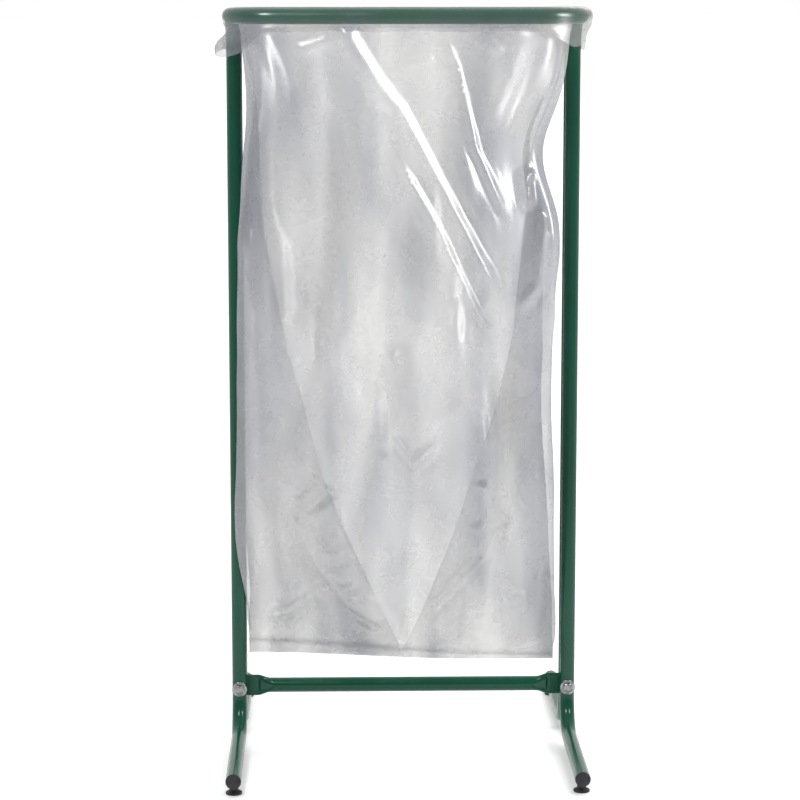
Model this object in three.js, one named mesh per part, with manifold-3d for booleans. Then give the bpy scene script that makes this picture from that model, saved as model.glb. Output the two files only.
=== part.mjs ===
// Sack holder: two identical bent-tube frames stand back to back, a crossbar is bolted between them,
// and a clear refuse sack hangs in the hoop that the two frames make.
// Millimetres. X runs across the stand, Y runs to the back, Z runs up. The origin is on the floor, centred.
import * as THREE from "three";
import { mergeVertices } from "three/addons/utils/BufferGeometryUtils.js";
import Module from "manifold-3d";

const wasm = await Module();
wasm.setup();

// Driving dimensions.
const FIT_GAP = 0.3; // left between pieces that touch
const TUBE_RADIUS = 10.65; // 21.3 mm steel tube
const TUBE_WALL = 1.5;
const UPRIGHT_X = 237.5; // axis of each upright from the middle
const HOOP_Z = 1048.3; // axis of the hoop
const HOOP_REACH = 165; // axis of the hoop's long bar from the upright's axis
const HOOP_CORNER = 58; // centreline radius in plan
const TOP_BEND = 60; // centreline radius from upright to hoop
const FOOT_BEND = 52;
const FOOT_Z = 22.2; // axis of the foot tubes
const FOOT_REACH = 260; // face of the end plug from the upright's axis
const BEND_STEPS = 6;
const OUTER_SIDES = 16;
const INNER_SIDES = 12;

const BAR_Z = 85; // axis of the crossbar and its bolts
const BAR_FLAT_THICKNESS = 4.4;
const BAR_FLAT_HEIGHT = 31;
const BAR_HALF_LENGTH = 247;
const BAR_FLAT_END = 211; // where the flattened end stops, from the middle
const BAR_ROUND_START = 193; // where the bar is fully round again
const BAR_SQUEEZE = [1, 0.9, 0.65, 0.35, 0.1, 0]; // evenly spaced from the flattened end to the round bar
const BAR_EDGE = 2.2; // how quickly the flattened faces close at their upper and lower edges
const FRAME_Y = TUBE_RADIUS + FIT_GAP + BAR_FLAT_THICKNESS / 2; // axis of each frame from the middle

const BOLT_RADIUS = 4; // M8
const BOLT_CLEARANCE = 4.5; // radius of the holes that the bolts pass
const HEX_FLATS = 13;
const HEAD_HEIGHT = 5.3;
const BOLT_TAIL = 2.2; // thread standing out of the nut
const WASHER_RADIUS = 11;
const WASHER_THICKNESS = 1.6;
const NUT_HEIGHT = 6.5;
const NUT_COLLAR = 1.5;
const NUT_COLLAR_RADIUS = 6;
const OVERLAP = 0.5; // by which two parts of one solid run into each other

const PLUG_HEAD = 3;
const PLUG_SPIGOT = 11;
const PLUG_RIBS = 3;
const PLUG_RIB_HEIGHT = 0.5;
const PLUG_RIB_START = 1.5; // first rib from the spigot's end
const PLUG_RIB_HALF = 1; // half a rib's width
const PLUG_RIB_PITCH = 3;
const PLUG_TIP = 1; // chamfer at the spigot's end
const PLUG_EDGE = 1.2; // how far the head's rounded edge reaches in

const GLIDE_SETBACK = 21; // glide axis behind the plug's face
const GLIDE_RADIUS = 11.25;
const GLIDE_RIM = 3.2;
const GLIDE_CONE_TOP = 5.2;
const GLIDE_HUB_RADIUS = 6.2;
const GLIDE_HUB_TOP = 10;
const GLIDE_FILLET = 0.6; // where the cone meets the hub
const CHAMFER = 0.8; // on the pad's edges and the stud's end
const STUD_RADIUS = 4;
const STUD_BOTTOM = 2.8;
const STUD_TOP = 28;
const STUD_HOLE = STUD_RADIUS + FIT_GAP;
const INSERT_FLANGE_RADIUS = 6.8;
const INSERT_FLANGE = 0.9;
const INSERT_RADIUS = 5.5;
const INSERT_TOP = 24;

const FILM = 0.6; // the solid film's thickness
const FILM_CLEARANCE = 0.5; // between the film and the tube it hangs on
const CUFF_DEPTH = 46; // hem below the hoop's axis
const SACK_BOTTOM = 128;
const SEAL_HEIGHT = 16;
const SEAL_HALF_THICKNESS = 1.5;
const SACK_BOTTOM_HALF_WIDTH = 223.5;
const SACK_LIP_STEPS = 6;

const enamel = new THREE.MeshStandardMaterial({ color: 0x1a4b38, roughness: 0.25, metalness: 0.1 });
const zinc = new THREE.MeshStandardMaterial({ color: 0xb9bec1, roughness: 0.3, metalness: 1 });
const blackPlastic = new THREE.MeshStandardMaterial({ color: 0x1b1c1e, roughness: 0.55, metalness: 0 });
const film = new THREE.MeshStandardMaterial({
  color: 0xc9cfd6,
  roughness: 0.2,
  metalness: 0,
  transparent: true,
  opacity: 0.4,
});

const holder = new THREE.Group();

function addPiece(name, geometry, material) {
  const mesh = new THREE.Mesh(geometry, material);
  mesh.name = name;
  holder.add(mesh);
  return mesh;
}

function toSolid(geometry) {
  const bare = new THREE.BufferGeometry();
  const flat = geometry.index ? geometry.toNonIndexed() : geometry;
  bare.setAttribute("position", flat.getAttribute("position").clone());
  const merged = mergeVertices(bare, 1e-3);
  const mesh = new wasm.Mesh({
    numProp: 3,
    vertProperties: merged.attributes.position.array,
    triVerts: new Uint32Array(merged.index.array),
  });
  return new wasm.Manifold(mesh);
}

function toGeometry(solid) {
  const mesh = solid.getMesh();
  const geometry = new THREE.BufferGeometry();
  geometry.setAttribute("position", new THREE.BufferAttribute(mesh.vertProperties, 3));
  geometry.setIndex(new THREE.BufferAttribute(mesh.triVerts, 1));
  geometry.computeVertexNormals();
  return geometry;
}

function cut(geometry, tools) {
  let solid = toSolid(geometry);
  for (const tool of tools) solid = solid.subtract(toSolid(tool));
  return toGeometry(solid);
}

function circlePoints(radius, sides) {
  return Array.from({ length: sides }, (_, i) => {
    const angle = (2 * Math.PI * (i + 0.5)) / sides;
    return new THREE.Vector2(radius * Math.cos(angle), radius * Math.sin(angle));
  });
}

function ringShape(outer, outerSides, inner, innerSides) {
  const shape = new THREE.Shape(circlePoints(outer, outerSides));
  shape.holes.push(new THREE.Path(circlePoints(inner, innerSides)));
  return shape;
}

// A curve that gives back its own stations, so a swept tube has rings only where its bends need them.
class StationCurve extends THREE.Curve {
  constructor(stations) {
    super();
    this.stations = stations;
    this.steps = stations.length - 1;
  }
  at(u) {
    return this.stations[Math.round(u * this.steps)];
  }
  getPoint(u, target = new THREE.Vector3()) {
    return target.copy(this.at(u).point);
  }
  getPointAt(u, target = new THREE.Vector3()) {
    return target.copy(this.at(u).point);
  }
  getTangentAt(u, target = new THREE.Vector3()) {
    return target.copy(this.at(u).tangent);
  }
}

// Stations along straight runs joined by round bends: corners is a list of [point, bend radius].
function bentPath(corners) {
  const stations = [];
  const last = corners.length - 1;
  corners.forEach(([corner, radius], i) => {
    if (i === 0 || i === last) {
      const other = corners[i === 0 ? 1 : last - 1][0];
      const tangent = i === 0 ? other.clone().sub(corner) : corner.clone().sub(other);
      stations.push({ point: corner, tangent: tangent.normalize() });
      return;
    }
    const into = corner.clone().sub(corners[i - 1][0]).normalize();
    const out = corners[i + 1][0].clone().sub(corner).normalize();
    const turn = into.angleTo(out);
    const start = corner.clone().addScaledVector(into, -radius * Math.tan(turn / 2));
    const inward = out.clone().addScaledVector(into, -out.dot(into)).normalize();
    for (let k = 0; k <= BEND_STEPS; k++) {
      const angle = (turn * k) / BEND_STEPS;
      const point = start
        .clone()
        .addScaledVector(into, radius * Math.sin(angle))
        .addScaledVector(inward, radius * (1 - Math.cos(angle)));
      const tangent = into.clone().multiplyScalar(Math.cos(angle)).addScaledVector(inward, Math.sin(angle));
      stations.push({ point, tangent });
    }
  });
  return new StationCurve(stations);
}

function tubeAlong(curve) {
  const section = ringShape(TUBE_RADIUS, OUTER_SIDES, TUBE_RADIUS - TUBE_WALL, INNER_SIDES);
  return new THREE.ExtrudeGeometry(section, { steps: curve.steps, extrudePath: curve });
}

// A round bar or hole cutter along Y, from y0 to y1.
function cylinderAlongY(radius, x, z, y0, y1, sides = OUTER_SIDES) {
  const geometry = new THREE.CylinderGeometry(radius, radius, y1 - y0, sides);
  return geometry.translate(x, (y0 + y1) / 2, z);
}

// A turned piece about a vertical axis; profile is a list of [radius, z].
function turned(profile, sides = OUTER_SIDES) {
  const points = profile.map(([radius, z]) => new THREE.Vector2(radius, z));
  return new THREE.LatheGeometry(points, sides).rotateX(Math.PI / 2);
}

// The steel frames. One stands in front of the crossbar and its twin is turned half round behind it.
function frameGeometry() {
  const footEnd = FRAME_Y + FOOT_REACH - PLUG_HEAD - FIT_GAP;
  const hoopY = FRAME_Y + HOOP_REACH;
  const place = (x, y, z) => new THREE.Vector3(x, y, z);
  const half = [
    [place(-UPRIGHT_X, -footEnd, FOOT_Z), 0],
    [place(-UPRIGHT_X, -FRAME_Y, FOOT_Z), FOOT_BEND],
    [place(-UPRIGHT_X, -FRAME_Y, HOOP_Z), TOP_BEND],
    [place(-UPRIGHT_X, -hoopY, HOOP_Z), HOOP_CORNER],
  ];
  const mirrored = half.map(([p, radius]) => [place(-p.x, p.y, p.z), radius]).reverse();
  const tube = tubeAlong(bentPath([...half, ...mirrored]));
  const holes = [];
  for (const side of [-1, 1]) {
    const x = side * UPRIGHT_X;
    const reach = TUBE_RADIUS + 1;
    holes.push(cylinderAlongY(BOLT_CLEARANCE, x, BAR_Z, -FRAME_Y - reach, -FRAME_Y + reach));
    const glideHole = new THREE.CylinderGeometry(
      INSERT_RADIUS + FIT_GAP,
      INSERT_RADIUS + FIT_GAP,
      FOOT_Z,
      OUTER_SIDES,
    );
    holes.push(glideHole.rotateX(Math.PI / 2).translate(x, glideY(-1), FOOT_Z / 2));
  }
  return cut(tube, holes);
}

function glideY(side) {
  return side * (FRAME_Y + FOOT_REACH - GLIDE_SETBACK);
}

// The crossbar: a tube whose ends are pressed flat. squeeze is 0 where it is round and 1 where it is flat.
function crossbarGeometry() {
  const run = BAR_FLAT_END - BAR_ROUND_START;
  const stations = [{ x: -BAR_HALF_LENGTH, squeeze: 1 }];
  BAR_SQUEEZE.forEach((squeeze, i) => {
    stations.push({ x: -BAR_FLAT_END + (run * i) / (BAR_SQUEEZE.length - 1), squeeze });
  });
  for (const { x, squeeze } of [...stations].reverse()) stations.push({ x: -x, squeeze });
  const section = ringShape(TUBE_RADIUS, OUTER_SIDES, TUBE_RADIUS - TUBE_WALL, INNER_SIDES);
  const steps = stations.length - 1;
  const geometry = new THREE.ExtrudeGeometry(section, { depth: steps, steps, bevelEnabled: false });
  const position = geometry.getAttribute("position");
  for (let i = 0; i < position.count; i++) {
    const across = position.getX(i);
    const up = position.getY(i);
    const radius = Math.hypot(across, up);
    const outer = radius > TUBE_RADIUS - TUBE_WALL / 2;
    const inset = outer ? 0 : TUBE_WALL;
    const station = stations[Math.round(position.getZ(i))];
    const halfThickness = BAR_FLAT_THICKNESS / 2 - inset;
    const halfHeight = BAR_FLAT_HEIGHT / 2 - inset;
    const cosine = across / radius;
    const sine = up / radius;
    const flatY = halfThickness * Math.sign(cosine) * Math.min(1, BAR_EDGE * Math.abs(cosine));
    const flatZ = halfHeight * sine;
    const y = THREE.MathUtils.lerp(across, flatY, station.squeeze);
    const z = THREE.MathUtils.lerp(up, flatZ, station.squeeze);
    position.setXYZ(i, station.x, y, BAR_Z + z);
  }
  const holes = [-1, 1].map((side) =>
    cylinderAlongY(BOLT_CLEARANCE, side * UPRIGHT_X, BAR_Z, -BAR_FLAT_THICKNESS, BAR_FLAT_THICKNESS),
  );
  return cut(geometry, holes);
}

// Fasteners stand in a row along Y: head, washer, tube, crossbar end, tube, washer, nut.
const WASHER_Y = FRAME_Y + TUBE_RADIUS + FIT_GAP;
const SEAT_Y = WASHER_Y + WASHER_THICKNESS + FIT_GAP;

function hexagon(y0, y1, x, hole = 0) {
  const corner = HEX_FLATS / Math.sqrt(3);
  const outline = new THREE.Shape(circlePoints(corner, 6));
  if (hole) outline.holes.push(new THREE.Path(circlePoints(hole, OUTER_SIDES)));
  const geometry = new THREE.ExtrudeGeometry(outline, { depth: y1 - y0, bevelEnabled: false });
  return geometry.rotateX(-Math.PI / 2).translate(x, y0, BAR_Z);
}

function boltGeometry(x) {
  const head = hexagon(-SEAT_Y - HEAD_HEIGHT, -SEAT_Y, x);
  const tail = SEAT_Y + NUT_HEIGHT + NUT_COLLAR + BOLT_TAIL;
  const shank = cylinderAlongY(BOLT_RADIUS, x, BAR_Z, -SEAT_Y - OVERLAP, tail);
  return toGeometry(toSolid(head).add(toSolid(shank)));
}

function nutGeometry(x) {
  const hole = BOLT_RADIUS + FIT_GAP;
  const body = hexagon(SEAT_Y, SEAT_Y + NUT_HEIGHT, x, hole);
  const collarTop = SEAT_Y + NUT_HEIGHT + NUT_COLLAR;
  const collar = washerRing(NUT_COLLAR_RADIUS, hole, SEAT_Y + NUT_HEIGHT - OVERLAP, collarTop, x);
  return toGeometry(toSolid(body).add(toSolid(collar)));
}

function washerRing(outer, inner, y0, y1, x) {
  const geometry = new THREE.ExtrudeGeometry(ringShape(outer, OUTER_SIDES, inner, OUTER_SIDES), {
    depth: y1 - y0,
    bevelEnabled: false,
  });
  return geometry.rotateX(-Math.PI / 2).translate(x, y0, BAR_Z);
}

// An end plug: a flush head and a ribbed spigot inside the tube. side is -1 at the front, 1 at the back.
function plugGeometry(x, side) {
  const spigot = TUBE_RADIUS - TUBE_WALL - FIT_GAP - PLUG_RIB_HEIGHT;
  const face = PLUG_HEAD + PLUG_SPIGOT;
  const profile = [[0, 0], [spigot - PLUG_TIP, 0], [spigot, PLUG_TIP]];
  for (let rib = 0; rib < PLUG_RIBS; rib++) {
    const middle = PLUG_RIB_START + PLUG_RIB_HALF + PLUG_RIB_PITCH * rib;
    profile.push([spigot, middle - PLUG_RIB_HALF]);
    profile.push([spigot + PLUG_RIB_HEIGHT, middle]);
    profile.push([spigot, middle + PLUG_RIB_HALF]);
  }
  profile.push([spigot, PLUG_SPIGOT], [TUBE_RADIUS, PLUG_SPIGOT], [TUBE_RADIUS, face - PLUG_TIP]);
  profile.push([TUBE_RADIUS - PLUG_EDGE, face], [0, face]);
  const y = side * (FRAME_Y + FOOT_REACH - face);
  return turned(profile)
    .rotateX((-side * Math.PI) / 2)
    .translate(x, y, FOOT_Z);
}

// A levelling glide: a plastic pad moulded on a steel stud, which screws into an insert in the foot tube.
function glideProfile() {
  return [
    [0, 0],
    [GLIDE_RADIUS - CHAMFER, 0],
    [GLIDE_RADIUS, CHAMFER],
    [GLIDE_RADIUS, GLIDE_RIM],
    [GLIDE_HUB_RADIUS + GLIDE_FILLET, GLIDE_CONE_TOP],
    [GLIDE_HUB_RADIUS, GLIDE_HUB_TOP - CHAMFER],
    [GLIDE_HUB_RADIUS - CHAMFER, GLIDE_HUB_TOP],
    [STUD_HOLE, GLIDE_HUB_TOP],
    [STUD_HOLE, STUD_BOTTOM - FIT_GAP],
    [0, STUD_BOTTOM - FIT_GAP],
  ];
}

function studProfile() {
  return [
    [0, STUD_BOTTOM],
    [STUD_RADIUS, STUD_BOTTOM],
    [STUD_RADIUS, STUD_TOP - CHAMFER],
    [STUD_RADIUS - CHAMFER, STUD_TOP],
    [0, STUD_TOP],
  ];
}

function insertProfile() {
  const flangeTop = FOOT_Z - TUBE_RADIUS - FIT_GAP;
  const flangeBottom = flangeTop - INSERT_FLANGE;
  return [
    [STUD_HOLE, flangeBottom],
    [INSERT_FLANGE_RADIUS, flangeBottom],
    [INSERT_FLANGE_RADIUS, flangeTop],
    [INSERT_RADIUS, flangeTop],
    [INSERT_RADIUS, INSERT_TOP],
    [STUD_HOLE, INSERT_TOP],
    [STUD_HOLE, flangeBottom],
  ];
}

// One ring of the sack: a rounded rectangle at one height, as corner arcs joined by straight sides.
function sackRing({ halfWidth, halfDepth, corner, z }) {
  const points = [];
  const centres = [[1, 1], [-1, 1], [-1, -1], [1, -1]];
  centres.forEach(([sx, sy], quarter) => {
    for (let k = 0; k <= BEND_STEPS; k++) {
      const angle = (Math.PI / 2) * (quarter + k / BEND_STEPS);
      const x = sx * (halfWidth - corner) + corner * Math.cos(angle);
      const y = sy * (halfDepth - corner) + corner * Math.sin(angle);
      points.push(new THREE.Vector3(x, y, z));
    }
  });
  return points;
}

// A ring that follows the hoop's centreline, offset outwards.
function hoopRing(offset, z) {
  return {
    halfWidth: UPRIGHT_X + offset,
    halfDepth: FRAME_Y + HOOP_REACH + offset,
    corner: HOOP_CORNER + offset,
    z,
  };
}

// The sack: its two panels run down from the hoop to a flat seal, and its mouth is turned over the hoop.
function sackGeometry() {
  const near = TUBE_RADIUS + FILM_CLEARANCE;
  const far = near + FILM;
  const hem = HOOP_Z - CUFF_DEPTH;
  const lip = (radius, k) => {
    const angle = (Math.PI * k) / SACK_LIP_STEPS;
    return hoopRing(-radius * Math.cos(angle), HOOP_Z + radius * Math.sin(angle));
  };
  const flat = (inset, z) => {
    const halfDepth = SEAL_HALF_THICKNESS - inset;
    return { halfWidth: SACK_BOTTOM_HALF_WIDTH - inset, halfDepth, corner: halfDepth, z };
  };
  const steps = Array.from({ length: SACK_LIP_STEPS + 1 }, (_, k) => k);
  const sealTop = SACK_BOTTOM + SEAL_HEIGHT;
  const rings = [
    flat(0, SACK_BOTTOM),
    flat(0, sealTop),
    ...steps.map((k) => lip(near, k)),
    hoopRing(near, hem),
    hoopRing(far, hem),
    ...steps.map((k) => lip(far, SACK_LIP_STEPS - k)),
    flat(FILM, sealTop + FILM),
  ].map(sackRing);
  const count = rings[0].length;
  const bottom = Array(count).fill(new THREE.Vector3(0, 0, SACK_BOTTOM));
  const floor = Array(count).fill(new THREE.Vector3(0, 0, sealTop + FILM));
  const columns = [bottom, ...rings, floor];
  const placeholder = columns.map((_, j) => new THREE.Vector2(j ? 1 : 0, j));
  const geometry = new THREE.LatheGeometry(placeholder, count);
  const position = geometry.getAttribute("position");
  for (let i = 0; i <= count; i++) {
    columns.forEach((ring, j) => {
      const point = ring[i % count];
      position.setXYZ(i * columns.length + j, point.x, point.y, point.z);
    });
  }
  return geometry;
}

const frame = frameGeometry();
addPiece("front_frame", frame, enamel);
addPiece("rear_frame", frame, enamel).rotation.z = Math.PI;
addPiece("crossbar", crossbarGeometry(), enamel);

for (const [end, side] of [["left", -1], ["right", 1]]) {
  const x = side * UPRIGHT_X;
  const hole = BOLT_RADIUS + FIT_GAP;
  const front = washerRing(WASHER_RADIUS, hole, -WASHER_Y - WASHER_THICKNESS, -WASHER_Y, x);
  const rear = washerRing(WASHER_RADIUS, hole, WASHER_Y, WASHER_Y + WASHER_THICKNESS, x);
  addPiece(`bolt_${end}`, boltGeometry(x), zinc);
  addPiece(`front_washer_${end}`, front, zinc);
  addPiece(`rear_washer_${end}`, rear, zinc);
  addPiece(`lock_nut_${end}`, nutGeometry(x), zinc);
  for (const [row, depth] of [["front", -1], ["rear", 1]]) {
    const y = glideY(depth);
    addPiece(`end_plug_${row}_${end}`, plugGeometry(x, depth), blackPlastic);
    addPiece(`glide_pad_${row}_${end}`, turned(glideProfile()), blackPlastic).position.set(x, y, 0);
    addPiece(`glide_stud_${row}_${end}`, turned(studProfile()), zinc).position.set(x, y, 0);
    addPiece(`threaded_insert_${row}_${end}`, turned(insertProfile()), zinc).position.set(x, y, 0);
  }
}

addPiece("sack", sackGeometry(), film);

export default holder;
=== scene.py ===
"""The looks of the sack holder: bent tubes, fasteners, feet and the clear sack that hangs in the hoop.

Metres, in the CAD model's frame: X to the right, Y to the back, Z up from the floor.
"""

import math

import bmesh
import bpy
import numpy as np
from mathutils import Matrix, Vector


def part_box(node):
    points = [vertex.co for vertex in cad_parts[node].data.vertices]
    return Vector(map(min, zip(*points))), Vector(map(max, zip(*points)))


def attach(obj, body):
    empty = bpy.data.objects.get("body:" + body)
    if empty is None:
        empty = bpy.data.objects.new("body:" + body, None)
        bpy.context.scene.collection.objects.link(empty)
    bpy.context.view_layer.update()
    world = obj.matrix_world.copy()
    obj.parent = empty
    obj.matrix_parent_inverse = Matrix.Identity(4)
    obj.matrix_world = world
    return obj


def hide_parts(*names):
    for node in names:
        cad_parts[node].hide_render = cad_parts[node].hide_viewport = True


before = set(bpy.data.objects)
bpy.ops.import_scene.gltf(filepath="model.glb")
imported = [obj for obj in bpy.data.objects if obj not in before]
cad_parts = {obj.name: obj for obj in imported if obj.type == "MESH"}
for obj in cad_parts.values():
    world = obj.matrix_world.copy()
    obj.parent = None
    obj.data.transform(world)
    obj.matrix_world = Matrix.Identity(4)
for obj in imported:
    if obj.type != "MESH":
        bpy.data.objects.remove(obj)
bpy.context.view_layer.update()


def centre(node):
    low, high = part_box(node)
    return (low + high) / 2


def size(node):
    low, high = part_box(node)
    return high - low


# Sizes taken from the frame.
PLUG = centre("end_plug_front_right")
TUBE_R = size("end_plug_front_right").x / 2
UPRIGHT_X = PLUG.x
FOOT_Z = PLUG.z
PLUG_FACE_Y = -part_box("end_plug_front_right")[0].y
SACK_LOW, SACK_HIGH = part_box("sack")
FILM_STANDOFF = 0.0011  # outer face of the solid film from the tube
HOOP_Z = SACK_HIGH.z - TUBE_R - FILM_STANDOFF
HOOP_Y = SACK_HIGH.y - TUBE_R - FILM_STANDOFF
BAR_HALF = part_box("crossbar")[1].x
BAR_FLAT = 0.0044
FRAME_Y = TUBE_R + 0.0003 + BAR_FLAT / 2

# Sizes that the frame's boxes don't show.
TUBE_WALL = 0.0015
HOOP_CORNER = 0.058
TOP_BEND = 0.060
FOOT_BEND = 0.052
BAR_FLAT_HEIGHT = 0.031
PLUG_HEAD = 0.003
HAZE = "haze"  # the mesh attribute that says how milky the film is at each point

# The camera stands a little left of the middle, as high as the hoop, and looks slightly down.
CAMERA_PLACE = (-0.094, -3.70, 1.075)
CAMERA_LENS = 117.7  # millimetres, as is the sensor
CAMERA_SENSOR = 36
CAMERA_PITCH, CAMERA_YAW = math.radians(8.78), math.radians(1.38)

# The studio. Glossy parts reflect a world and a floor that are dark behind the camera and pale ahead of it.
LIGHTS_AIM = (0, 0, 0.8)
DARK = (0.26, 0.26, 0.27)
WORLD_TONES = ((0.15, DARK), (0.75, (0.84, 0.84, 0.84)))  # (share of the way from front to back, colour)
WORLD_SHOWN = (1, 1, 1)
FLOOR_TONES = (
    (0.0, DARK), (0.33, (0.44, 0.44, 0.44)), (0.41, (0.70, 0.70, 0.70)), (0.46, (0.86, 0.86, 0.86)),
    (0.53, (0.78, 0.78, 0.78)), (0.57, (0.66, 0.66, 0.66)),
)
FLOOR_GRADED = 5.0  # metres of floor that the grade takes up, each way from the stand
FLOOR_HALF = 120
FLOOR_SHOWN = (0.98, 0.98, 0.98)
FLOOR_GLOW = 0.14  # keeps the floor white where the stand shades it a little


# ---------------------------------------------------------------- stage, light and camera

def look_at(obj, target):
    direction = Vector(target) - obj.location
    obj.rotation_euler = direction.to_track_quat("-Z", "Y").to_euler()


def make_camera():
    data = bpy.data.cameras.new("camera")
    data.lens = CAMERA_LENS
    data.sensor_width = CAMERA_SENSOR
    data.clip_end = 200
    camera = bpy.data.objects.new("camera", data)
    camera.location = CAMERA_PLACE
    camera.rotation_euler = (math.pi / 2 - CAMERA_PITCH, 0, -CAMERA_YAW)
    bpy.context.scene.collection.objects.link(camera)
    bpy.context.scene.camera = camera


def area_light(name, location, width, height, power):
    data = bpy.data.lights.new(name, "AREA")
    data.shape = "RECTANGLE"
    data.size, data.size_y = width, height
    data.energy = power
    light = bpy.data.objects.new(name, data)
    light.location = location
    look_at(light, LIGHTS_AIM)
    light.visible_camera = False
    bpy.context.scene.collection.objects.link(light)
    return light


def seen_pale(tree, colour, pale):
    """A colour that the camera itself sees as one pale tone."""
    path = tree.nodes.new("ShaderNodeLightPath")
    mix = tree.nodes.new("ShaderNodeMix")
    mix.data_type = "RGBA"
    sockets = [socket for socket in mix.inputs if socket.type == "RGBA"]
    tree.links.new(path.outputs["Is Camera Ray"], mix.inputs["Factor"])
    tree.links.new(colour, sockets[0])
    sockets[1].default_value = (*pale, 1)
    return next(socket for socket in mix.outputs if socket.type == "RGBA")


def light_only(light, obj):
    """Keeps a lamp's light to one object."""
    lit = bpy.data.collections.new(light.name)
    lit.objects.link(obj)
    light.light_linking.receiver_collection = lit


def set_stops(ramp, stops):
    """Gives a colour ramp its stops, in order: (place, colour)."""
    elements = ramp.color_ramp.elements
    while len(elements) < len(stops):
        elements.new(0.5)
    for element, (place, colour) in zip(elements, stops):
        element.position = place
        element.color = (*colour, 1)


def graded(tree, source, reach, stops, shown, interpolation="LINEAR"):
    """A tone that changes along Y, from -reach to reach, for all but the camera, which sees the shown one."""
    nodes, links = tree.nodes, tree.links
    coordinates = nodes.new("ShaderNodeTexCoord")
    split = nodes.new("ShaderNodeSeparateXYZ")
    scale = nodes.new("ShaderNodeMapRange")
    scale.inputs["From Min"].default_value = -reach
    scale.inputs["From Max"].default_value = reach
    ramp = nodes.new("ShaderNodeValToRGB")
    ramp.color_ramp.interpolation = interpolation
    set_stops(ramp, stops)
    links.new(coordinates.outputs[source], split.inputs[0])
    links.new(split.outputs["Y"], scale.inputs["Value"])
    links.new(scale.outputs["Result"], ramp.inputs["Fac"])
    return seen_pale(tree, ramp.outputs["Color"], shown)


def make_world():
    scene = bpy.context.scene
    scene.view_settings.view_transform = "Standard"
    world = bpy.data.worlds.new("studio")
    scene.world = world
    world.use_nodes = True
    background = world.node_tree.nodes["Background"]
    tone = graded(world.node_tree, "Generated", 1, WORLD_TONES, WORLD_SHOWN)
    world.node_tree.links.new(tone, background.inputs["Color"])
    background.inputs["Strength"].default_value = 1.0


def make_floor():
    mesh = bpy.data.meshes.new("floor")
    half = FLOOR_HALF
    corners = [(-half, -half, 0), (half, -half, 0), (half, half, 0), (-half, half, 0)]
    mesh.from_pydata(corners, [], [(0, 1, 2, 3)])
    floor = bpy.data.objects.new("floor", mesh)
    bpy.context.scene.collection.objects.link(floor)
    material = bpy.data.materials.new("floor")
    material.use_nodes = True
    tree = material.node_tree
    shader = tree.nodes["Principled BSDF"]
    shader.inputs["Roughness"].default_value = 0.9
    shader.inputs["Specular IOR Level"].default_value = 0.1
    shader.inputs["Emission Color"].default_value = (1, 1, 1, 1)
    shader.inputs["Emission Strength"].default_value = FLOOR_GLOW
    tone = graded(tree, "Object", FLOOR_GRADED, FLOOR_TONES, FLOOR_SHOWN, "EASE")
    tree.links.new(tone, shader.inputs["Base Color"])
    mesh.materials.append(material)


def make_lights():
    """A wide soft sun and two softboxes, and a tall strip, given back, that is for the film alone."""
    sun = bpy.data.lights.new("overhead", "SUN")
    sun.energy = 2.0
    sun.angle = math.radians(50)
    overhead = bpy.data.objects.new("overhead", sun)
    overhead.location = (0, 0, 4)
    overhead.rotation_euler = (math.radians(-22), math.radians(8), 0)
    overhead.visible_glossy = False
    bpy.context.scene.collection.objects.link(overhead)
    area_light("softbox_left", (-0.60, -1.35, 1.80), 0.50, 0.42, 13)
    area_light("softbox_right", (1.18, -0.95, 1.41), 0.35, 0.42, 9)
    return area_light("strip_right", (0.98, -0.85, 1.15), 0.34, 1.3, 10)


# ---------------------------------------------------------------- materials

class Material:
    """A node material with short helpers."""

    def __init__(self, name):
        self.material = bpy.data.materials.new(name)
        self.material.use_nodes = True
        self.nodes = self.material.node_tree.nodes
        self.links = self.material.node_tree.links
        self.shader = self.nodes["Principled BSDF"]
        self.coordinates = self.nodes.new("ShaderNodeTexCoord").outputs["Object"]

    def set(self, **values):
        for name, value in values.items():
            self.shader.inputs[name.replace("_", " ")].default_value = value

    def scaled(self, scale):
        mapping = self.nodes.new("ShaderNodeMapping")
        mapping.inputs["Scale"].default_value = scale
        self.links.new(self.coordinates, mapping.inputs["Vector"])
        return mapping.outputs["Vector"]

    def noise(self, scale, detail=4, roughness=0.5, stretch=(1, 1, 1), distortion=0):
        node = self.nodes.new("ShaderNodeTexNoise")
        node.inputs["Scale"].default_value = scale
        node.inputs["Detail"].default_value = detail
        node.inputs["Roughness"].default_value = roughness
        node.inputs["Distortion"].default_value = distortion
        self.links.new(self.scaled(stretch), node.inputs["Vector"])
        return node.outputs["Fac"]

    def ranged(self, value, low, high, to_low, to_high):
        node = self.nodes.new("ShaderNodeMapRange")
        node.inputs["From Min"].default_value = low
        node.inputs["From Max"].default_value = high
        node.inputs["To Min"].default_value = to_low
        node.inputs["To Max"].default_value = to_high
        self.links.new(value, node.inputs["Value"])
        return node.outputs["Result"]

    def maths(self, operation, *values):
        node = self.nodes.new("ShaderNodeMath")
        node.operation = operation
        for socket, value in zip(node.inputs, values):
            if isinstance(value, (int, float)):
                socket.default_value = value
            else:
                self.links.new(value, socket)
        return node.outputs["Value"]

    def ramp(self, value, *stops):
        node = self.nodes.new("ShaderNodeValToRGB")
        set_stops(node, stops)
        self.links.new(value, node.inputs["Fac"])
        return node.outputs["Color"]

    def bump(self, height, strength, distance):
        node = self.nodes.new("ShaderNodeBump")
        node.inputs["Strength"].default_value = strength
        node.inputs["Distance"].default_value = distance
        self.links.new(height, node.inputs["Height"])
        previous = self.shader.inputs["Normal"]
        if previous.is_linked:
            self.links.new(previous.links[0].from_socket, node.inputs["Normal"])
        self.links.new(node.outputs["Normal"], previous)

    def plug(self, value, name):
        self.links.new(value, self.shader.inputs[name])


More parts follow.
